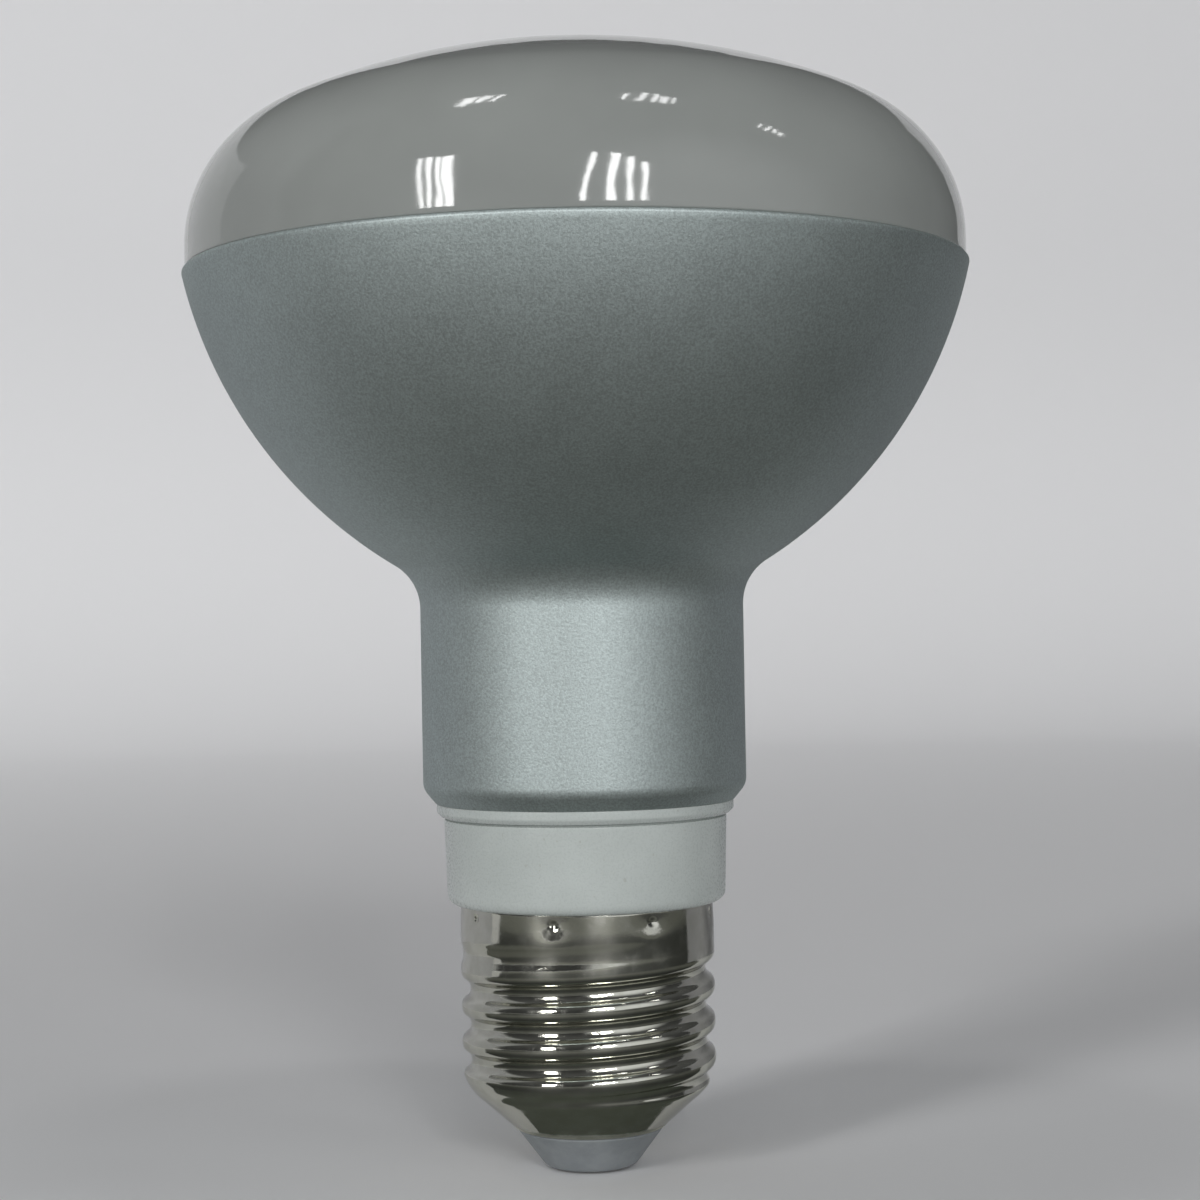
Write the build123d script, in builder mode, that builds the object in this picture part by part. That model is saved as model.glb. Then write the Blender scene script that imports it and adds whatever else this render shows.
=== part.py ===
"""Reflector lamp on a 27 mm screw cap, with a satin silver body and an opal front dome.

The lamp stands cap down. Its origin is the foot of the centre contact on the lamp's axis,
and +Z runs up that axis to the crown of the dome. All sizes are in millimetres.
"""

import os
from math import sqrt

from build123d import *

os.makedirs("parts", exist_ok=True)

# Play left around every plug, stem and pin
fit_clearance = 0.1

# Centre contact: a flat-headed pin pressed into the insulator
contact_flat_diameter = 6.4
contact_head_diameter = 7.6
contact_head_thickness = 0.8
contact_protrusion = 0.2
contact_pin_diameter = 2.0
contact_pin_length = 5.5

# Insulator: the plastic plug moulded into the mouth of the cap
insulator_foot_diameter = 9.2
insulator_foot_radius = 1.2
insulator_top_diameter = 15.2
insulator_cone_height = 4.0
insulator_plug_height = 3.6

# Screw cap: a pressed shell with a round shoulder, a rolled thread and a smooth skirt
cap_mouth_diameter = 14.4
cap_lip_diameter = 15.4
cap_lip_height = 0.4
cap_lip_bevel = 0.4
cap_wall = 0.4
shoulder_height = 4.4
shoulder_fillet_radius = 4.5
skirt_height = 4.35

# Thread: one right-hand groove rolled into the cap, with bevelled crests
thread_major_diameter = 26.1
thread_minor_diameter = 24.1
thread_pitch = 3.629
thread_turns = 4.08
thread_start_drop = 3.25
thread_runout = 6.5
groove_floor_width = 1.0
crest_width = 0.7
crest_bevel_width = 0.36
crest_bevel_depth = 0.3

# Crimp dimples: punch marks around the skirt that lock the cap to the collar
dimple_count = 8
dimple_start_angle = -103.5
dimple_diameter = 1.5
dimple_depth = 0.25
dimple_drop = 1.0

# Collar: the white plastic ring between cap and body
barrel_height = 8.7
barrel_foot_diameter = 28.4
barrel_top_diameter = 28.9
barrel_edge_radius = 1.1
groove_height = 0.25
groove_diameter = 28.3
flange_height = 1.35
flange_diameter = 30.4
flange_bevel_height = 0.75
flange_bevel_width = 0.7
collar_cap_plug_height = 12.0
collar_body_plug_diameter = 26.8
collar_body_plug_height = 6.0

# Reflector body: bowl and neck in one piece
neck_end_diameter = 30.6
neck_edge_height = 2.6
neck_diameter = 33.1
neck_height = 22.9
neck_fillet_radius = 6.5
bowl_height = 30.5
bowl_arc_radius = 46.4
rim_diameter = 80.0
rim_lip_height = 0.8
rim_chamfer = 0.15

# Front dome: a shallow crown turned over a round edge into a short straight wall
rim_step = 0.3
dome_seat_width = 1.8
dome_plug_height = 2.5
dome_wall_height = 2.2
dome_edge_radius = 14.8
crown_radius = 75.5

# Levels where the pieces seat on each other, counted up from the contact
cap_foot = contact_protrusion + insulator_cone_height
shoulder_foot = cap_foot + cap_lip_height
thread_foot = shoulder_foot + shoulder_height
thread_start = thread_foot - thread_start_drop
skirt_foot = thread_start + (thread_turns + 0.5) * thread_pitch + cap_wall
cap_top = skirt_foot + skirt_height
groove_foot = cap_top + barrel_height
flange_foot = groove_foot + groove_height
body_foot = flange_foot + flange_height
neck_top = body_foot + neck_height
lip_foot = neck_top + bowl_height
rim_level = lip_foot + rim_lip_height

# Bores that the plugs and pins are sized from
major_radius = thread_major_diameter / 2
minor_radius = thread_minor_diameter / 2
thread_bore_radius = minor_radius - cap_wall
skirt_bore_radius = major_radius - cap_wall
collar_bore_radius = collar_body_plug_diameter / 2 + fit_clearance
dome_radius = rim_diameter / 2 - rim_step
dome_plug_radius = dome_radius - dome_seat_width
dome_bore_radius = dome_plug_radius + fit_clearance


with BuildPart() as centre_contact:
    with BuildSketch(Plane.XZ):
        with BuildLine():
            Polyline(
                (0, 0),
                (contact_flat_diameter / 2, 0),
                (contact_head_diameter / 2, contact_protrusion),
                (contact_head_diameter / 2, contact_head_thickness),
                (contact_pin_diameter / 2, contact_head_thickness),
                (contact_pin_diameter / 2, contact_head_thickness + contact_pin_length),
                (0, contact_head_thickness + contact_pin_length),
                close=True,
            )
        make_face()
    revolve(axis=Axis.Z)
centre_contact.part.label = "centre_contact"
export_step(centre_contact.part, "parts/centre_contact.step")


with BuildPart() as cap_insulator:
    stem_radius = cap_mouth_diameter / 2 - fit_clearance
    plug_foot = shoulder_foot + cap_wall
    plug_top = plug_foot + insulator_plug_height
    # The plug widens inside the shell at the slope of the shoulder's inner wall
    wall_slope = (thread_bore_radius - cap_mouth_diameter / 2) / (thread_foot - plug_foot)
    plug_radius = stem_radius + insulator_plug_height * wall_slope
    with BuildSketch(Plane.XZ):
        with BuildLine():
            Polyline(
                (0, contact_protrusion),
                (insulator_foot_diameter / 2, contact_protrusion),
                (insulator_top_diameter / 2, cap_foot),
                (stem_radius, cap_foot),
                (stem_radius, plug_foot),
                (plug_radius, plug_top),
                (0, plug_top),
                close=True,
            )
        foot_corner = (insulator_foot_diameter / 2, contact_protrusion)
        fillet(make_face().vertices().sort_by_distance(foot_corner)[0], insulator_foot_radius)
    revolve(axis=Axis.Z)
    with Locations(Location((0, 0, contact_protrusion), (180, 0, 0))):
        CounterBoreHole(
            contact_pin_diameter / 2 + fit_clearance,
            contact_head_diameter / 2 + fit_clearance,
            contact_head_thickness - contact_protrusion,
        )
cap_insulator.part.label = "cap_insulator"
export_step(cap_insulator.part, "parts/cap_insulator.step")


with BuildPart() as screw_cap:
    mouth_radius = cap_mouth_diameter / 2
    lip_radius = cap_lip_diameter / 2
    with BuildSketch(Plane.XZ):
        with BuildLine():
            Polyline(
                (mouth_radius, cap_foot),
                (lip_radius, cap_foot),
                (lip_radius + cap_lip_bevel, shoulder_foot),
                (major_radius, thread_foot),
                (major_radius, cap_top),
                (skirt_bore_radius, cap_top),
                (skirt_bore_radius, skirt_foot),
                (thread_bore_radius, skirt_foot),
                (thread_bore_radius, thread_foot),
                (mouth_radius, shoulder_foot + cap_wall),
                close=True,
            )
        shoulder_corner = (major_radius, thread_foot)
        fillet(make_face().vertices().sort_by_distance(shoulder_corner)[0], shoulder_fillet_radius)
    revolve(axis=Axis.Z)
    # The groove climbs out of the shoulder and leaves the cap along its own tangent
    with BuildLine() as groove_path:
        helix = Helix(thread_pitch, thread_turns * thread_pitch, minor_radius, center=(0, 0, thread_start))
        Line(helix @ 1, helix @ 1 + (helix % 1) * thread_runout)
    depth = major_radius - minor_radius
    mouth = (thread_pitch - crest_width) / 2
    with BuildSketch(Plane(helix @ 0, x_dir=(1, 0, 0), z_dir=helix % 0)):
        with BuildLine():
            flank = Polyline(
                (0, 0),
                (0, groove_floor_width / 2),
                (depth - crest_bevel_depth, mouth - crest_bevel_width),
                (depth + crest_bevel_depth, mouth + crest_bevel_width),
                (depth + crest_bevel_depth, 0),
            )
            mirror(flank, about=Plane.XZ)
        make_face()
    sweep(path=groove_path.wires()[0], is_frenet=True, mode=Mode.SUBTRACT)
    with Locations((0, 0, cap_top - dimple_drop)):
        with PolarLocations(major_radius, dimple_count, dimple_start_angle):
            # The punch is a cone whose point sits one dimple depth under the skirt
            Cone(0, dimple_diameter, 2 * dimple_depth, rotation=(0, 90, 0), mode=Mode.SUBTRACT)
screw_cap.part.label = "screw_cap"
export_step(screw_cap.part, "parts/screw_cap.step")


with BuildPart() as collar:
    skirt_plug_radius = skirt_bore_radius - fit_clearance
    thread_plug_radius = thread_bore_radius - fit_clearance
    plug_step = skirt_foot + fit_clearance
    with BuildSketch(Plane.XZ):
        with BuildLine():
            Polyline(
                (0, cap_top - collar_cap_plug_height),
                (thread_plug_radius, cap_top - collar_cap_plug_height),
                (thread_plug_radius, plug_step),
                (skirt_plug_radius, plug_step),
                (skirt_plug_radius, cap_top),
                (barrel_foot_diameter / 2, cap_top),
                (barrel_top_diameter / 2, groove_foot),
                (groove_diameter / 2, groove_foot),
                (groove_diameter / 2, flange_foot),
                (flange_diameter / 2 - flange_bevel_width, flange_foot),
                (flange_diameter / 2, flange_foot + flange_bevel_height),
                (flange_diameter / 2, body_foot),
                (collar_body_plug_diameter / 2, body_foot),
                (collar_body_plug_diameter / 2, body_foot + collar_body_plug_height),
                (0, body_foot + collar_body_plug_height),
                close=True,
            )
        barrel_corner = (barrel_foot_diameter / 2, cap_top)
        fillet(make_face().vertices().sort_by_distance(barrel_corner)[0], barrel_edge_radius)
    revolve(axis=Axis.Z)
collar.part.label = "collar"
export_step(collar.part, "parts/collar.step")


with BuildPart() as reflector_body:
    neck_radius = neck_diameter / 2
    rim_radius = rim_diameter / 2
    socket_floor = rim_level - dome_plug_height - fit_clearance
    bore_top = body_foot + collar_body_plug_height + fit_clearance
    with BuildSketch(Plane.XZ):
        with BuildLine():
            Polyline(
                (0, bore_top),
                (0, socket_floor),
                (dome_bore_radius, socket_floor),
                (dome_bore_radius, rim_level),
                (rim_radius - rim_chamfer, rim_level),
                (rim_radius, rim_level - rim_chamfer),
                (rim_radius, lip_foot),
            )
            bowl = RadiusArc((rim_radius, lip_foot), (neck_radius, neck_top), bowl_arc_radius)
            neck = Line(bowl @ 1, (neck_radius, body_foot + neck_edge_height))
            neck_edge = TangentArc(neck @ 1, (neck_end_diameter / 2, body_foot), tangent=neck % 1)
            Polyline(
                neck_edge @ 1,
                (collar_bore_radius, body_foot),
                (collar_bore_radius, bore_top),
                (0, bore_top),
            )
        fillet(make_face().vertices().sort_by_distance(bowl @ 1)[0], neck_fillet_radius)
    revolve(axis=Axis.Z)
reflector_body.part.label = "reflector_body"
export_step(reflector_body.part, "parts/reflector_body.step")


with BuildPart() as diffuser:
    edge_level = rim_level + dome_wall_height
    edge_centre = dome_radius - dome_edge_radius
    crown_drop = sqrt((crown_radius - dome_edge_radius) ** 2 - edge_centre**2)
    crown_level = edge_level - crown_drop + crown_radius
    # Crown and edge arcs meet on the line through both their centres
    reach = crown_radius / (crown_radius - dome_edge_radius)
    join = (edge_centre * reach, edge_level - crown_drop + crown_drop * reach)
    with BuildSketch(Plane.XZ):
        with BuildLine():
            crown = RadiusArc((0, crown_level), join, crown_radius)
            edge = RadiusArc(crown @ 1, (dome_radius, edge_level), dome_edge_radius)
            Polyline(
                edge @ 1,
                (dome_radius, rim_level),
                (dome_plug_radius, rim_level),
                (dome_plug_radius, rim_level - dome_plug_height),
                (0, rim_level - dome_plug_height),
                crown @ 0,
            )
        make_face()
    revolve(axis=Axis.Z)
diffuser.part.label = "diffuser"
export_step(diffuser.part, "parts/diffuser.step")
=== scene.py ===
import bpy
import numpy as np
from mathutils import Euler, Matrix


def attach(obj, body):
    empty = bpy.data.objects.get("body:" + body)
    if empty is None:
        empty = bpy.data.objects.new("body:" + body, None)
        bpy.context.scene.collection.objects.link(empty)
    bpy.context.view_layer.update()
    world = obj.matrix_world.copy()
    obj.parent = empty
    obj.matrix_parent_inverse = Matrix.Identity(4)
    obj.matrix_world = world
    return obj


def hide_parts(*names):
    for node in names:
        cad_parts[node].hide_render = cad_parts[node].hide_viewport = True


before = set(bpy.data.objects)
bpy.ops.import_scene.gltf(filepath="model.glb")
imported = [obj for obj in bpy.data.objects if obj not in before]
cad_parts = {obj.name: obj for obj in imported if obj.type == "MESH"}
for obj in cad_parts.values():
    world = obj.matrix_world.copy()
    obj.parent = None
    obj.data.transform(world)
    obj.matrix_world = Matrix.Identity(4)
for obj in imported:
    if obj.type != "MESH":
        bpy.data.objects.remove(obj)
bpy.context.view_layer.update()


# Centre contact: a flat-headed pin of plated metal, pressed into the foot of the insulator.
# It is turned or headed from wire, so its face is flat, its edge is bevelled, and fine rings
# and the rub of a lampholder's spring show on the face.

def rounded(corners, spacing, steps=9):
    """Profile of (radius, height) in mm through corners of (radius, height, rounding).

    The arc at a corner touches both sides at rounding / tan(half angle) from it and turns about
    the point rounding / sin(half angle) along the bisector; its points are the two touching spokes
    blended by the sines of the part angles. Sides longer than the spacing are divided evenly.
    """
    corners = np.array(corners, dtype=float)
    rounding = corners[1:-1, 2:]
    corners = corners[:, :2]
    middle = corners[1:-1]
    back = corners[:-2] - middle
    ahead = corners[2:] - middle
    back /= np.linalg.norm(back, axis=1, keepdims=True)
    ahead /= np.linalg.norm(ahead, axis=1, keepdims=True)
    half = np.arccos(np.clip((back * ahead).sum(1, keepdims=True), -1, 1)) / 2
    bisector = back + ahead
    bisector /= np.linalg.norm(bisector, axis=1, keepdims=True)
    centre = middle + bisector * rounding / np.sin(half)
    first_spoke = middle + back * rounding / np.tan(half) - centre
    last_spoke = middle + ahead * rounding / np.tan(half) - centre
    sweep = np.pi - 2 * half[:, :, None]
    part = np.linspace(0, 1, steps)[None, :, None]
    arcs = np.sin((1 - part) * sweep) * first_spoke[:, None] + np.sin(part * sweep) * last_spoke[:, None]
    arcs = centre[:, None] + arcs / np.sin(sweep)
    return divided(np.vstack([corners[:1], arcs.reshape(-1, 2), corners[-1:]]), spacing)


def divided(profile, spacing):
    """The same profile without doubled points, its long sides cut into equal parts up to the spacing."""
    same_point = 1e-6
    side = np.linalg.norm(np.diff(profile, axis=0), axis=1)
    profile = profile[np.append(True, side > same_point)]
    side = np.linalg.norm(np.diff(profile, axis=0), axis=1)
    parts = np.ceil(side / spacing).astype(int)
    index = np.repeat(np.arange(len(parts)), parts)
    within = (np.arange(parts.sum()) - np.repeat(np.cumsum(parts) - parts, parts)) / parts[index]
    points = profile[index] + (profile[index + 1] - profile[index]) * within[:, None]
    return np.vstack([points, profile[-1:]])


def smooth_piece(name, points, faces):
    """Object at the origin with these points in metres and these faces, shaded smooth."""
    mesh = bpy.data.meshes.new(name)
    mesh.from_pydata(points.tolist(), [], faces)
    mesh.polygons.foreach_set("use_smooth", np.ones(len(faces), dtype=bool))
    mesh.update()
    piece = bpy.data.objects.new(name, mesh)
    bpy.context.collection.objects.link(piece)
    return piece


def round_piece(name, radius, height, closed=False):
    """Piece round the axis from a grid of radii, rows by columns, and one height a row, all in mm.

    A point is (radius cos a, radius sin a, height) with the angle a even over the columns. The last
    column joins the first. A closed profile joins its last row to its first. Any other one starts
    and ends on the axis, where one pole each closes it.
    """
    millimetre = 0.001
    rows, columns = radius.shape
    angle = np.arange(columns) * 2 * np.pi / columns
    grid = [radius * np.cos(angle), radius * np.sin(angle), np.broadcast_to(height, radius.shape)]
    points = np.stack(grid, axis=2).reshape(-1, 3) * millimetre
    row = np.arange(rows if closed else rows - 1)[:, None]
    column = np.arange(columns)[None, :]
    here = row * columns + column
    beside = row * columns + (column + 1) % columns
    above = (row + 1) % rows * columns + (column + 1) % columns
    left = (row + 1) % rows * columns + column
    faces = np.stack([here, beside, above, left], axis=2).reshape(-1, 4)
    if closed:
        return smooth_piece(name, points, faces.tolist())
    # The first and last rows lie on the axis, so each shrinks to its first point
    foot, crown = 0, (rows - 1) * columns
    first = np.stack([np.full(columns, foot), above[0], left[0]], axis=1)
    last = np.stack([here[-1], beside[-1], np.full(columns, crown)], axis=1)
    used = np.concatenate([[foot], np.arange(columns, crown + 1)])
    place = np.zeros(rows * columns, dtype=int)
    place[used] = np.arange(len(used))
    faces = place[first].tolist() + place[faces[columns:-columns]].tolist() + place[last].tolist()
    return smooth_piece(name, points[used], faces)


def turned_piece(name, profile, columns):
    """A round piece whose profile of (radius, height) is the same at every angle."""
    return round_piece(name, profile[:, :1] * np.ones((1, columns)), profile[:, 1:])


class Wire:
    """One socket among a material's nodes. Arithmetic on it adds Math nodes, node() adds any other."""

    def __init__(self, socket):
        self.socket = socket

    def node(self, kind, settings, inputs, output=0):
        """A new node of that kind: its settings first, then its inputs' values or links. Gives one output."""
        tree = self.socket.id_data
        made = tree.nodes.new("ShaderNode" + kind)
        for name, value in settings.items():
            setattr(made, name, value)
        for name, value in inputs.items():
            if isinstance(value, Wire):
                tree.links.new(value.socket, made.inputs[name])
            else:
                made.inputs[name].default_value = value
        return Wire(made.outputs[output]) if made.outputs else None

    def math(self, operation, first, second):
        """A Math node on two values, this wire and a number or another wire."""
        return self.node("Math", {"operation": operation}, {0: first, 1: second})

    def __add__(self, other):
        return self.math("ADD", self, other)

    def __radd__(self, other):
        return self.math("ADD", other, self)

    def __sub__(self, other):
        return self.math("SUBTRACT", self, other)

    def __rsub__(self, other):
        return self.math("SUBTRACT", other, self)

    def __mul__(self, other):
        return self.math("MULTIPLY", self, other)

    def __rmul__(self, other):
        return self.math("MULTIPLY", other, self)

    def noise(self, scale, detail=2.0, roughness=0.5, squeeze=(1, 1, 1)):
        """Even noise from 0 to 1 at so many cells a metre, times the squeeze along each axis."""
        where = self.node("Mapping", {}, {"Vector": self, "Scale": squeeze})
        grain = {"Vector": where, "Scale": scale, "Detail": detail, "Roughness": roughness}
        return self.node("TexNoise", {}, grain)

    def along(self, axis):
        """This place or direction's own X, Y or Z."""
        return self.node("SeparateXYZ", {}, {"Vector": self}, output=axis)

    def step(self, low, high):
        """A smooth rise from 0 at low to 1 at high."""
        limits = {"Value": self, "From Min": low, "From Max": high}
        return self.node("MapRange", {"interpolation_type": "SMOOTHSTEP"}, limits)

    def blend(self, first, second):
        """The first colour where this is 0, the second where it is 1."""
        colours = {"Factor": self, 6: first, 7: second}
        return self.node("Mix", {"data_type": "RGBA"}, colours, output=2)

    def relief(self, distance):
        """A surface normal bumped by this height, 1 standing for so many metres."""
        return self.node("Bump", {}, {"Height": self, "Distance": distance}, output="Normal")


def new_finish(name):
    """An empty material and a wire with the place on the piece, in metres."""
    material = bpy.data.materials.new(name)
    material.use_nodes = True
    material.node_tree.nodes.clear()
    place = material.node_tree.nodes.new("ShaderNodeTexCoord").outputs["Object"]
    return material, Wire(place)


def coat(piece, material, place, sockets):
    """The surface shader with its sockets' values and links, put on the piece."""
    surface = place.node("BsdfPrincipled", {}, sockets)
    place.node("OutputMaterial", {}, {"Surface": surface})
    piece.data.materials.append(material)


face_radius, head_radius, head_bevel, head_height = 3.2, 3.8, 0.2, 0.8
shank_radius, shank_top = 1.0, 6.3
contact_profile = rounded([
    (0, 0, 0),
    (face_radius, 0, 0.15),
    (head_radius, head_bevel, 0.12),
    (head_radius, head_height, 0.05),
    (shank_radius, head_height, 0),
    (shank_radius, shank_top, 0.1),
    (0, shank_top, 0),
], spacing=0.35)
contact = turned_piece("contact_pin", contact_profile, columns=128)
dull_plate, rubbed_plate = (0.52, 0.51, 0.47, 1), (0.66, 0.65, 0.61, 1)
contact_plate, place = new_finish("contact_plate")
rings = place.node("TexWave", {"wave_type": "RINGS", "rings_direction": "Z"},
                   {"Vector": place, "Scale": 900.0, "Distortion": 1.5, "Detail": 2.0})
rubbed = place.noise(700, detail=4).step(0.45, 0.7)
coat(contact, contact_plate, place, {
    "Base Color": rubbed.blend(dull_plate, rubbed_plate),
    "Metallic": 1.0,
    "Roughness": 0.24 + 0.14 * rubbed + 0.08 * rings,
    "Normal": (rings + rubbed).relief(0.000012),
})
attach(contact, "root")
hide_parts("centre_contact")


# Cap insulator: the light grey plug of hard moulded plastic that fills the mouth of the cap and
# keeps the contact off the shell. Its cone shows under the cap, with a soft edge at the foot,
# a matt skin and a slightly worn tone.

pocket_radius, plug_foot, plug_foot_radius = 3.9, 0.2, 4.6
mouth_level, plug_cone_radius = 4.2, 7.6
waist_radius, waist_top = 7.1, 5.0
plug_radius, plug_top = 11.1, 8.6
insulator_profile = rounded([
    (0, head_height, 0),
    (pocket_radius, head_height, 0.05),
    (pocket_radius, plug_foot, 0.12),
    (plug_foot_radius, plug_foot, 1.1),
    (plug_cone_radius, mouth_level, 0.2),
    (waist_radius, mouth_level, 0.05),
    (waist_radius, waist_top, 0.1),
    (plug_radius, plug_top, 0.2),
    (0, plug_top, 0),
], spacing=0.3)
insulator = turned_piece("cap_plug", insulator_profile, columns=160)
plug_dark, plug_pale = (0.23, 0.25, 0.262, 1), (0.285, 0.305, 0.317, 1)
plug_plastic, place = new_finish("plug_plastic")
mottle = place.noise(450, detail=5, roughness=0.6)
pores = place.noise(5200)
coat(insulator, plug_plastic, place, {
    "Base Color": mottle.step(0.3, 0.7).blend(plug_dark, plug_pale),
    "Roughness": 0.42 + 0.18 * mottle,
    "Normal": (0.7 * pores + 0.3 * mottle).relief(0.00003),
})
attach(insulator, "root")
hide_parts("cap_insulator")


# Screw cap: a thin shell of nickel-plated brass or steel, drawn to a cup with a round shoulder and
# left matt at the cut edge of its mouth. The round thread is rolled in afterwards and fades out
# under the smooth skirt, where eight punch marks lock the shell to the collar.

thread_pitch, thread_depth = 3.629, 1.0
crest_radius, first_root = 13.05, 5.75
full_end, full_drop, dropped_share = 4.22, 0.16, 0.6  # turns, turns, and share of the depth
thread_end, fade_turns = 5.05, 0.8  # turns
soft_corner = 0.25
mark_count, first_mark, mark_level = 8, -104.5, 26.12  # the first mark's angle in degrees
mark_depth, mark_reach = 0.16, 0.6
dent_depth, dent_reach = 0.12, 1.6


def root_depth(from_crest):
    """Depth of the round thread at a distance from a crest, along the axis.

    Crest and root are arcs of one radius that meet halfway down. The radius is the one whose two
    arcs over a quarter pitch each make up the depth.
    """
    quarter = thread_pitch / 4
    bend = thread_depth / 4 + quarter**2 / thread_depth
    over = bend - np.sqrt(bend**2 - np.minimum(from_crest, quarter) ** 2)
    under = bend - np.sqrt(bend**2 - np.minimum(2 * quarter - from_crest, quarter) ** 2)
    return np.where(from_crest < quarter, over, thread_depth - under)


def eased(part):
    """From 0 to 1 with level ends: 3 p^2 - 2 p^3 of the part, held between 0 and 1."""
    part = np.clip(part, 0, 1)
    return part**2 * (3 - 2 * part)


def threaded(profile, columns):
    """Radius of the shell at every angle: the plain profile with thread and punch marks pressed in.

    A root rises by one pitch a turn, and each point belongs to the nearest root. The thread is full
    for four turns, drops to under half depth and fades out over the last turn. Where the shoulder
    is narrower than the thread, the lesser radius wins, over a soft corner. A punch mark is a
    round bowl, (1 - d^2)^2 deep, in a wide shallow dent of the sheet, exp(-d^2).
    """
    plain, height = profile[:, :1], profile[:, 1:]
    angle = np.arange(columns)[None, :] * 2 * np.pi / columns
    turn = (height - first_root) / thread_pitch - angle / (2 * np.pi)
    nearest = np.round(turn)
    from_crest = (0.5 - np.abs(turn - nearest)) * thread_pitch
    turns_up = nearest + angle / (2 * np.pi)
    fade = dropped_share * eased((full_end - turns_up) / full_drop)
    fade = fade + (1 - dropped_share) * eased((thread_end - turns_up) / fade_turns)
    thread = crest_radius - root_depth(from_crest) * fade
    pressed = np.clip(0.5 + 0.5 * (plain - thread) / soft_corner, 0, 1)
    shell = plain + (thread - plain) * pressed - soft_corner * pressed * (1 - pressed)
    mark_spacing = 2 * np.pi / mark_count
    beside_mark = np.mod(angle - np.radians(first_mark) + mark_spacing / 2, mark_spacing) - mark_spacing / 2
    from_mark = (beside_mark * crest_radius) ** 2 + (height - mark_level) ** 2
    bowl = mark_depth * np.clip(1 - from_mark / mark_reach**2, 0, 1) ** 2
    dent = dent_depth * np.exp(-from_mark / dent_reach**2)
    return shell - bowl - dent


mouth_radius, lip_radius = 7.2, 7.7
shoulder_foot_radius, shoulder_foot, shoulder_level = 8.1, 4.6, 9.0
skirt_foot, skirt_top, skirt_radius = 24.8, 27.12, 12.9
sleeve_seat_radius, sleeve_seat = 12.65, 22.77
bore_radius, bore_top = 11.65, 22.6
shell_outside = rounded([
    (mouth_radius, mouth_level, 0),
    (lip_radius, mouth_level, 0.35),
    (shoulder_foot_radius, shoulder_foot, 0.3),
    (crest_radius, shoulder_level, 4.5),
    (crest_radius, skirt_foot, 20.0),
    (skirt_radius, skirt_top, 0.1),
    (sleeve_seat_radius, skirt_top, 0),
], spacing=0.14, steps=7)
shell_inside = divided(np.array([
    (sleeve_seat_radius, sleeve_seat),
    (bore_radius, bore_top),
    (bore_radius, shoulder_level),
    (mouth_radius, waist_top),
]), spacing=6.0)
cap_columns = 456
inside_radius = shell_inside[:, :1] * np.ones((1, cap_columns))
cap_radius = np.vstack([threaded(shell_outside, cap_columns), inside_radius])
cap_height = np.vstack([shell_outside, shell_inside])[:, 1:]
screw_cap = round_piece("screw_shell", cap_radius, cap_height, closed=True)
nickel_smudged, nickel_clean = (0.67, 0.668, 0.585, 1), (0.755, 0.75, 0.675, 1)
bright_nickel, place = new_finish("bright_nickel")
dents = place.noise(230, detail=1)
smudge = place.noise(620, detail=4, roughness=0.6)
scuff = place.noise(2600, detail=3, squeeze=(2.2, 2.2, 1)).step(0.55, 0.75)
cut_edge = 1 - place.along("Z").step(0.0044, 0.0049)
coat(screw_cap, bright_nickel, place, {
    "Base Color": smudge.step(0.3, 0.7).blend(nickel_smudged, nickel_clean),
    "Metallic": 1.0,
    "Specular Tint": (0.75, 0.75, 0.75, 1),
    "Roughness": 0.06 + 0.1 * smudge.step(0.4, 0.75) + 0.06 * scuff + 0.5 * cut_edge,
    "Normal": (dents + 0.15 * smudge + 0.03 * scuff).relief(0.00004),
})
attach(screw_cap, "root")
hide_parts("screw_cap")


# Collar: the white plastic ring between cap and body, injection moulded in one piece. Its barrel
# stands on the cap and has a round lower edge; above a fine groove a flange carries the body.
# The skin is semi-gloss, with the very fine grain of its mould and a few specks of dust.

spigot_radius, spigot_foot = 11.55, 15.12
sleeve_radius, sleeve_foot = 12.55, 22.87
barrel_foot_radius, barrel_top_radius = 14.2, 14.45
groove_radius, groove_foot, groove_top = 14.15, 35.82, 36.07
flange_radius, flange_chamfer, flange_top = 15.2, 0.45, 37.42
stub_radius, stub_top = 13.4, 43.42
collar_profile = rounded([
    (0, spigot_foot, 0),
    (spigot_radius, spigot_foot, 0.1),
    (spigot_radius, sleeve_foot, 0.05),
    (sleeve_radius, sleeve_foot, 0.05),
    (sleeve_radius, skirt_top, 0.05),
    (barrel_foot_radius, skirt_top, 1.1),
    (barrel_top_radius, groove_foot, 0.12),
    (groove_radius, groove_foot, 0.05),
    (groove_radius, groove_top, 0.05),
    (flange_radius - flange_chamfer, groove_top, 0.15),
    (flange_radius, groove_top + flange_chamfer, 0.4),
    (flange_radius, flange_top, 0.12),
    (stub_radius, flange_top, 0.05),
    (stub_radius, stub_top, 0.1),
    (0, stub_top, 0),
], spacing=0.5)
collar = turned_piece("white_collar", collar_profile, columns=224)
collar_shade, collar_light = (0.51, 0.552, 0.531, 1), (0.575, 0.619, 0.597, 1)
dust_colour = (0.42, 0.44, 0.4, 1)
collar_plastic, place = new_finish("collar_plastic")
cloud = place.noise(140, detail=4)
spark = place.noise(4200, detail=3, roughness=0.6)
dust = place.noise(1700, detail=1).step(0.73, 0.77)
clean_white = (cloud.step(0.3, 0.7) * 0.7 + 0.3 * spark).blend(collar_shade, collar_light)
coat(collar, collar_plastic, place, {
    "Base Color": (0.5 * dust).blend(clean_white, dust_colour),
    "Roughness": 0.22 + 0.12 * spark,
    "Normal": spark.relief(0.00002),
})
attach(collar, "root")
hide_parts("collar")


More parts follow.
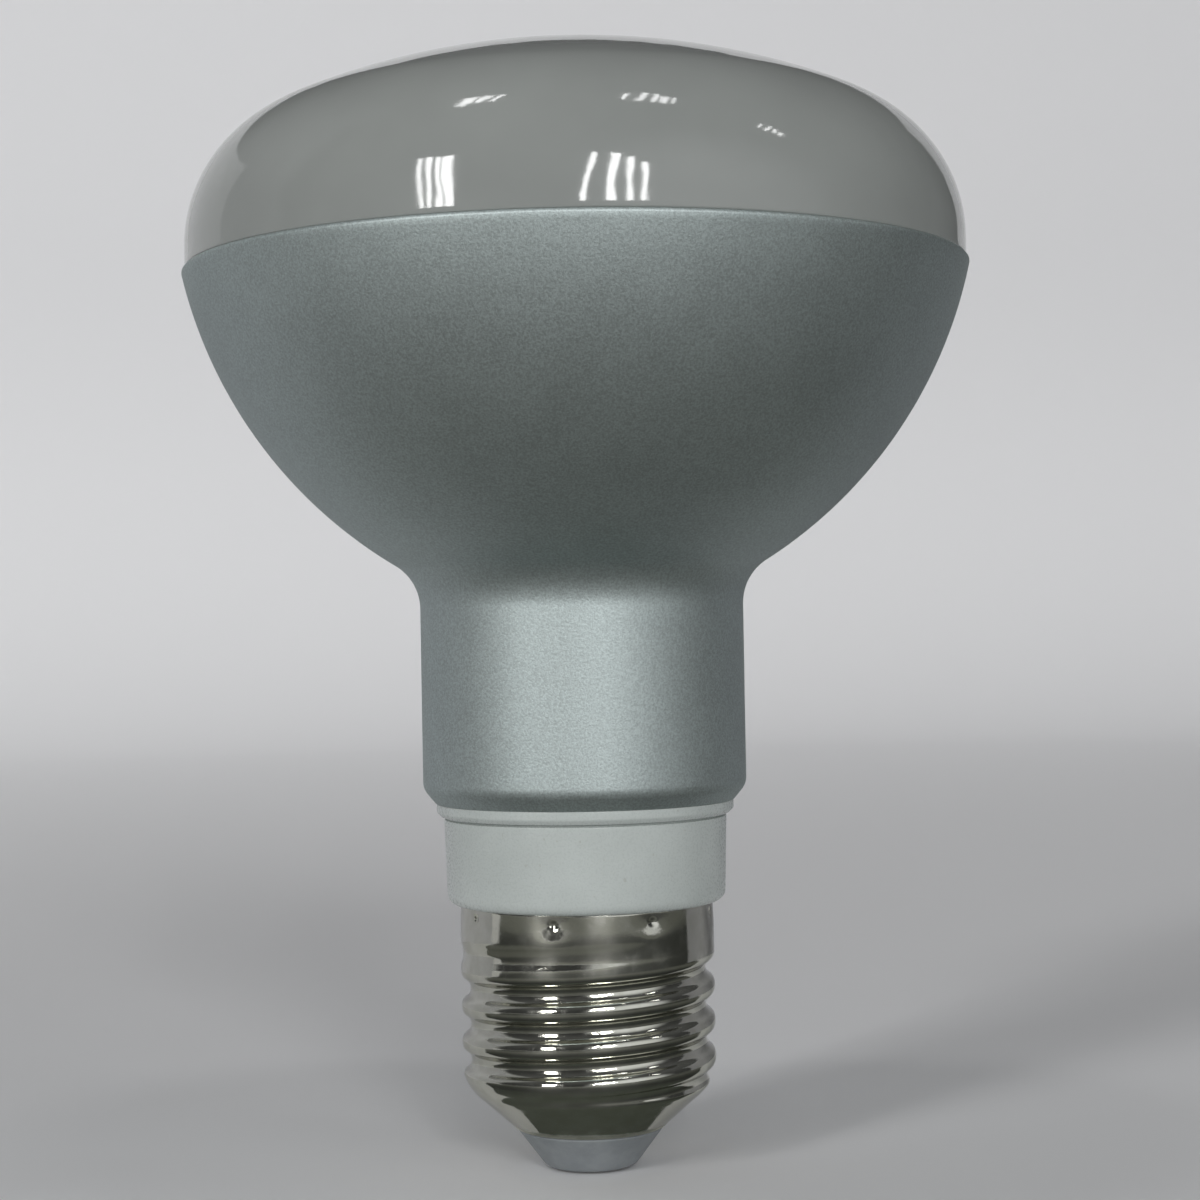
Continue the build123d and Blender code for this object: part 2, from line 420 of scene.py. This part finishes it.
# Reflector body: bowl and neck spun or blown as one piece and sprayed with satin silver lacquer. The
# bowl is one arc from the rim's lip down to the neck, and the neck's lower edge turns over a round
# corner into a short cone that ends on the collar. The lacquer shows a fine metallic grain.

def arc(centre, radius, start, end, steps):
    """Points at centre + radius (cos a, sin a), the angle a going from start to end in degrees."""
    angle = np.radians(np.linspace(start, end, steps))
    return np.stack([centre[0] + radius * np.cos(angle), centre[1] + radius * np.sin(angle)], axis=1)


def arc_centre(first, last, radius):
    """Centre of the arc of that radius from the first point to the last, on the left of the way.

    It lies off the middle of the chord by the root of radius^2 - (half the chord)^2.
    """
    first, last = np.array(first), np.array(last)
    chord = last - first
    length = np.linalg.norm(chord)
    across = np.array([-chord[1], chord[0]]) / length
    return (first + last) / 2 + across * np.sqrt(radius**2 - length**2 / 4)


neck_radius, neck_top, neck_foot = 16.55, 60.32, 42.42
edge_in, edge_height, edge_rounding = 1.25, 1.5, 2.0
stub_seat_radius, stub_seat = 13.5, 43.52
rim_radius, lip_foot, rim_level, lip_rounding = 40.0, 91.2, 91.62, 0.34
dome_seat_radius, dome_seat = 38.0, 89.02
bowl_radius, neck_fillet = 46.4, 5.2
bowl_centre = arc_centre((neck_radius, neck_top), (rim_radius, lip_foot), bowl_radius)
# The fillet touches neck and bowl from outside: its centre is one fillet off both
fillet_x = neck_radius + neck_fillet
fillet_drop = np.sqrt((bowl_radius + neck_fillet) ** 2 - (fillet_x - bowl_centre[0]) ** 2)
fillet_centre = np.array([fillet_x, bowl_centre[1] - fillet_drop])
fillet_end = np.degrees(np.arctan2(*(bowl_centre - fillet_centre)[::-1]))
rim_angle = np.degrees(np.arctan2(lip_foot - bowl_centre[1], rim_radius - bowl_centre[0]))
neck_edge = rounded([
    (0, stub_seat, 0),
    (stub_seat_radius, stub_seat, 0.05),
    (stub_seat_radius, flange_top, 0.05),
    (neck_radius - edge_in, flange_top, 0.12),
    (neck_radius, flange_top + edge_height, edge_rounding),
    (neck_radius, neck_foot, 0),
], spacing=1.0, steps=13)
neck_turn = arc(fillet_centre, neck_fillet, 180, fillet_end, steps=25)
bowl = arc(bowl_centre, bowl_radius, fillet_end - 180, rim_angle, steps=70)
lip = rounded([
    (rim_radius, lip_foot, 0),
    (rim_radius, rim_level, lip_rounding),
    (dome_seat_radius, rim_level, 0.08),
    (dome_seat_radius, dome_seat, 0.05),
    (0, dome_seat, 0),
], spacing=0.6)
body_profile = divided(np.vstack([neck_edge, neck_turn, bowl, lip]), spacing=0.9)
body = turned_piece("silver_body", body_profile, columns=288)
silver_shade, silver_light = (0.523, 0.583, 0.579, 1), (0.714, 0.796, 0.791, 1)
satin_silver, place = new_finish("satin_silver")
grain = place.noise(4300, detail=3, roughness=0.6)
flake = place.noise(9500, detail=1)
spray = place.noise(190, detail=4)
tone = (0.6 * grain + 0.08 * spray + 0.32 * flake).step(0.36, 0.64)
coat(body, satin_silver, place, {
    "Base Color": tone.blend(silver_shade, silver_light),
    "Metallic": 1.0,
    "Specular Tint": (0.6, 0.6, 0.6, 1),
    "Roughness": 0.495 + 0.1 * grain + 0.06 * spray,
    "Normal": (0.7 * grain + 0.3 * flake).relief(0.00003),
})
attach(body, "root")
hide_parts("reflector_body")


# Front dome: the opal diffuser, moulded in one piece of milky plastic and pressed into the rim.
# A shallow crown turns over a round edge into a short straight wall. Its skin is glossy, with the
# faint waviness of a moulding.

dome_radius, edge_level, dome_edge = 39.7, 93.82, 14.8
crown_radius = 75.5
dome_spigot_radius, dome_foot = 37.9, 89.12
edge_centre = np.array([dome_radius - dome_edge, edge_level])
crown_drop = np.sqrt((crown_radius - dome_edge) ** 2 - edge_centre[0] ** 2)
crown_centre = np.array([0.0, edge_level - crown_drop])
edge_end = np.degrees(np.arctan2(crown_drop, edge_centre[0]))
dome_wall = rounded([
    (0, dome_foot, 0),
    (dome_spigot_radius, dome_foot, 0.1),
    (dome_spigot_radius, rim_level, 0.05),
    (dome_radius, rim_level, 0.2),
    (dome_radius, edge_level, 0),
], spacing=0.5)
dome_turn = arc(edge_centre, dome_edge, 0, edge_end, steps=48)
crown = arc(crown_centre, crown_radius, edge_end, 90, steps=40)
crown[-1, 0] = 0  # the top lies on the axis
dome_profile = divided(np.vstack([dome_wall, dome_turn, crown]), spacing=1.0)
dome = turned_piece("opal_dome", dome_profile, columns=288)
opal_shade, opal_light = (0.3, 0.315, 0.302, 1), (0.333, 0.35, 0.335, 1)
opal_plastic, place = new_finish("opal_gloss")
milk = place.noise(55, detail=3)
wave = place.noise(330, detail=1)
haze = place.noise(2100, detail=3)
coat(dome, opal_plastic, place, {
    "Base Color": milk.step(0.3, 0.7).blend(opal_shade, opal_light),
    "Roughness": 0.03 + 0.04 * haze + 0.02 * milk,
    "IOR": 1.55,
    "Normal": (wave + 0.05 * haze).relief(0.00002),
})
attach(dome, "root")
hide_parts("diffuser")


# Floor and backdrop: a flat pale sheet of matt paper under the lamp, and a second one that sweeps
# up from it and stands round the lamp's back, a little darker as it rises.

def sheet(name, points):
    """A stage sheet over a grid of points, rows by columns by (x, y, z) in metres."""
    rows, columns = points.shape[:2]
    corner = (np.arange(rows - 1)[:, None] * columns + np.arange(columns - 1)).ravel()
    faces = np.stack([corner, corner + 1, corner + 1 + columns, corner + columns], axis=1)
    laid = smooth_piece(name, points.reshape(-1, 3), faces.tolist())
    return laid


def round_lamp(distance, angle, height):
    """Grid of points (distance sin a, -distance cos a, height) about the lamp's axis.

    Angle 0 faces the camera and half a turn lies straight behind the lamp.
    """
    grid = np.broadcast_arrays(distance * np.sin(angle), -distance * np.cos(angle), height)
    return np.stack(grid, axis=2)


floor_half = 20.0
floor_line = np.linspace(-floor_half, floor_half, 13)
floor_x, floor_y = np.meshgrid(floor_line, floor_line)
floor = sheet("floor_sheet", np.stack([floor_x, floor_y, np.zeros_like(floor_x)], axis=2))
sweep_start, sweep_bend, backdrop_top, under_floor = 0.8, 0.5, 0.76, 0.0001
backdrop_left, backdrop_right = 240, 146  # degrees, with 180 straight behind the lamp
sweep_curve = arc((sweep_start, sweep_bend - under_floor), sweep_bend, -90, 0, steps=150)
sweep_line = divided(np.vstack([sweep_curve, [(sweep_start + sweep_bend, backdrop_top)]]), spacing=0.1)
sweep_angle = np.radians(np.linspace(backdrop_left, backdrop_right, 60))[None, :]
backdrop = sheet("backdrop_sheet", round_lamp(sweep_line[:, :1], sweep_angle, sweep_line[:, 1:]))
paper_pale, paper_dark = (0.9, 0.9, 0.908, 1), (0.72, 0.72, 0.728, 1)
pale_paper, place = new_finish("pale_paper")
coat(floor, pale_paper, place, {
    "Base Color": place.along("Z").step(0.0, 0.3).blend(paper_pale, paper_dark),
    "Roughness": 0.85,
    "Specular IOR Level": 0.2,
})
backdrop.data.materials.append(pale_paper)


# Dark card: a black matt sheet in front of the lamp that only its mirroring surfaces see, painted shade
# that stands in for the shaded floor in front of the lamp. It starts at the lamp's foot and opens to more
# than half a turn. Its painted reflection is a lighter grey close to the lamp, and paler in a band further
# out and at its far end.

def mirrored_only(laid):
    """Hides a stage sheet from the camera and from diffuse and shadow rays, so that only mirrors show it."""
    laid.visible_camera = False
    laid.visible_shadow = False
    laid.visible_diffuse = False


card_foot, card_length, card_level = 0.0066, 2.6, 0.0004
card_reach = card_foot + card_length * np.linspace(0, 1, 60)[:, None] ** 3
card_side = np.linspace(-1, 1, 49)[None, :]
# How far the card opens to the left and right, in degrees, at these distances from the axis
spread_at = [0.0, 0.04, 0.1, 0.16]
left_spread = np.interp(card_reach, spread_at, [62, 96, 102, 84])
right_spread = np.interp(card_reach, spread_at, [70, 106, 116, 110])
card_angle = np.radians(np.where(card_side < 0, left_spread, right_spread)) * card_side
card = sheet("dark_card", round_lamp(card_reach, card_angle, card_level))
# Painted reflection colours: a lighter grey by the lamp's foot, black, and a paler grey further out
painted_foot_grey, card_dark, card_pale = (0.14, 0.155, 0.13, 1), (0.045, 0.048, 0.043, 1), (0.22, 0.227, 0.196, 1)
card_black, place = new_finish("card_black")
from_lamp = place.node("VectorMath", {"operation": "LENGTH"}, {0: place}, output="Value")
# Painted reflection: lighter grey close to the lamp's foot, black further out
painted_foot_tone = from_lamp.step(0.012, 0.03).blend(painted_foot_grey, card_dark)
# Painted reflection of a brighter floor: a paler band further out and a paler far end
pale_band = from_lamp.step(0.03, 0.08) - from_lamp.step(0.1, 0.15)
coat(card, card_black, place, {
    "Base Color": (0.8 * pale_band + from_lamp.step(0.25, 0.45)).blend(painted_foot_tone, card_pale),
    "Roughness": 0.7,
})
mirrored_only(card)


# Grey screen: a low curved sheet close behind the lamp, which its mirroring surfaces see instead of
# the bright backdrop: a painted reflection of darker surroundings. It is paler on the left, a painted
# reflection of a paler wall there.

screen_distance, screen_foot, screen_top = 0.14, 0.0006, 0.1
screen_left, screen_right = 268, 98  # degrees, with 180 straight behind the lamp
screen_line = divided(np.array([(screen_distance, screen_foot), (screen_distance, screen_top)]), spacing=0.01)
screen_angle = np.radians(np.linspace(screen_left, screen_right, 80))[None, :]
screen = sheet("grey_screen", round_lamp(screen_line[:, :1], screen_angle, screen_line[:, 1:]))
# Painted reflection colours: paler on the left, darker on the right
screen_pale, screen_dark = (0.7, 0.7, 0.73, 1), (0.36, 0.36, 0.38, 1)
screen_grey, place = new_finish("screen_grey")
coat(screen, screen_grey, place, {
    "Base Color": place.along("X").step(-0.1, 0.1).blend(screen_pale, screen_dark),
    "Roughness": 0.8,
})
mirrored_only(screen)


# Light: two tall windows of upright panes in front, short ceiling tubes, two lights on the backdrop,
# and a dim room with a broad glow in front on the right, a paler wall behind on the left and a
# slightly paler ceiling.

def lit_panel(name, spot, target, width, height, radiance, lean=0):
    """A rectangular light at a spot, facing the target and leaning by so many degrees.

    Its power is the radiance times pi times its area.
    """
    light = bpy.data.lights.new(name, "AREA")
    light.shape = "RECTANGLE"
    light.size = width
    light.size_y = height
    light.energy = radiance * np.pi * width * height
    panel = bpy.data.objects.new(name, light)
    bpy.context.collection.objects.link(panel)
    panel.location = spot
    away = np.array(spot) - np.array(target)
    away /= np.linalg.norm(away)
    level = np.hypot(away[0], away[1])
    facing = Euler((np.arctan2(level, away[2]), 0, np.arctan2(away[0], -away[1]))).to_matrix()
    panel.rotation_euler = (facing @ Matrix.Rotation(np.radians(lean), 3, "Z")).to_euler()
    panel.visible_camera = False


dome_front = np.array([0, -0.036, 0.098])


def toward(azimuth, elevation, distance):
    """Point at that distance from the front of the dome, in the direction of the two angles in degrees.

    It is off by distance (sin a cos e, -cos a cos e, sin e): azimuth a is 0 on the camera's side and
    grows to its right, and elevation e grows upward.
    """
    a, e = np.radians(azimuth), np.radians(elevation)
    return dome_front + distance * np.array([np.sin(a) * np.cos(e), -np.cos(a) * np.cos(e), np.sin(e)])


lamp_middle = (0, 0, 0.08)
far_off = 9.0
pane_radiance, tube_radiance = 19.0, 12.0
# Each light by azimuth, elevation, breadth, length and lean, in degrees as the dome sees it
window_panes = [
    (-44.5, 19, 1, 22.5, 9), (-42, 19.5, 1.5, 23, 8), (-39, 19.5, 1.5, 23, 8), (-36, 19.5, 3, 23.5, 7),
    (4.5, 19.5, 1.5, 23, -8), (11.5, 19.5, 2.5, 22.5, -7), (16, 18, 1.5, 19.5, -4), (20, 16, 1.5, 15.5, -5),
]
ceiling_tubes = [
    (-66, 68, 1.5, 7, 36), (-65.5, 70, 1, 6, 32), (-61, 71.5, 1.5, 5.5, 25), (-54.5, 73, 1, 5.5, 22),
    (40, 74.5, 1, 6, -42), (48.5, 73, 1, 7.5, -48), (53.5, 71, 1, 7.5, -48), (55, 69.5, 0.5, 6.5, -46),
    (56, 68.5, 1, 6, -46), (59, 67.5, 0.5, 5, -48), (72, 47.5, 0.5, 3, -56), (73, 45.5, 1, 3.5, -54),
    (74, 43.5, 1, 3, -54), (74.5, 41.5, 1, 2.5, -54),
]
light_groups = [("window_pane", window_panes, pane_radiance), ("ceiling_tube", ceiling_tubes, tube_radiance)]
for group, lights, radiance in light_groups:
    for number, (azimuth, elevation, breadth, length, lean) in enumerate(lights):
        lit_panel(f"{group}_{number}", toward(azimuth, elevation, far_off), lamp_middle,
                  far_off * np.radians(breadth), far_off * np.radians(length), radiance, lean)
backdrop_lights = [(-122, 1.9), (155, 0.3)]  # azimuth in degrees and radiance
for number, (azimuth, radiance) in enumerate(backdrop_lights):
    spot = toward(azimuth, elevation=54, distance=1.0)
    target = toward(azimuth, elevation=23, distance=1.3)
    lit_panel(f"backdrop_light_{number}", spot, target, width=1.0, height=0.3, radiance=radiance)

room = bpy.data.worlds.new("room")
bpy.context.scene.world = room
room.use_nodes = True
room.node_tree.nodes.clear()
room_tint = (0.96, 0.98, 1.0, 1)
front_right = (0.6, -0.79, 0.1)
direction = Wire(room.node_tree.nodes.new("ShaderNodeTexCoord").outputs["Generated"])
rightward = direction.along("X")
backward = direction.along("Y")
upward = direction.along("Z")
facing = direction.node("VectorMath", {"operation": "DOT_PRODUCT"}, {0: direction, 1: front_right},
                        output="Value")
left_wall = (0 - rightward).step(0.3, 0.9) * backward.step(-0.06, 0.1)
glow = 0.045 + 0.26 * left_wall + 0.04 * upward.step(0.25, 0.9) + 0.7 * facing.step(0.7, 1.0)
backing = direction.node("Background", {}, {"Color": room_tint, "Strength": glow})
direction.node("OutputWorld", {}, {"Surface": backing})


# Camera: level with the middle of the lamp, 250 mm in front of it, looking up by less than half a
# degree and leaning by one degree.

camera_lens = bpy.data.cameras.new("front_camera")
camera_lens.sensor_width = 36.0
camera_lens.lens = 73.02
camera_lens.clip_start = 0.01
camera = bpy.data.objects.new("front_camera", camera_lens)
bpy.context.collection.objects.link(camera)
camera_right, camera_distance, camera_level = 0.00185, 0.25, 0.05607
look_up, camera_lean = 0.42, 1.0
camera.location = (camera_right, -camera_distance, camera_level)
camera.rotation_euler = (np.radians(90 + look_up), np.radians(camera_lean), 0)
bpy.context.scene.camera = camera
bpy.context.scene.view_settings.view_transform = "Standard"
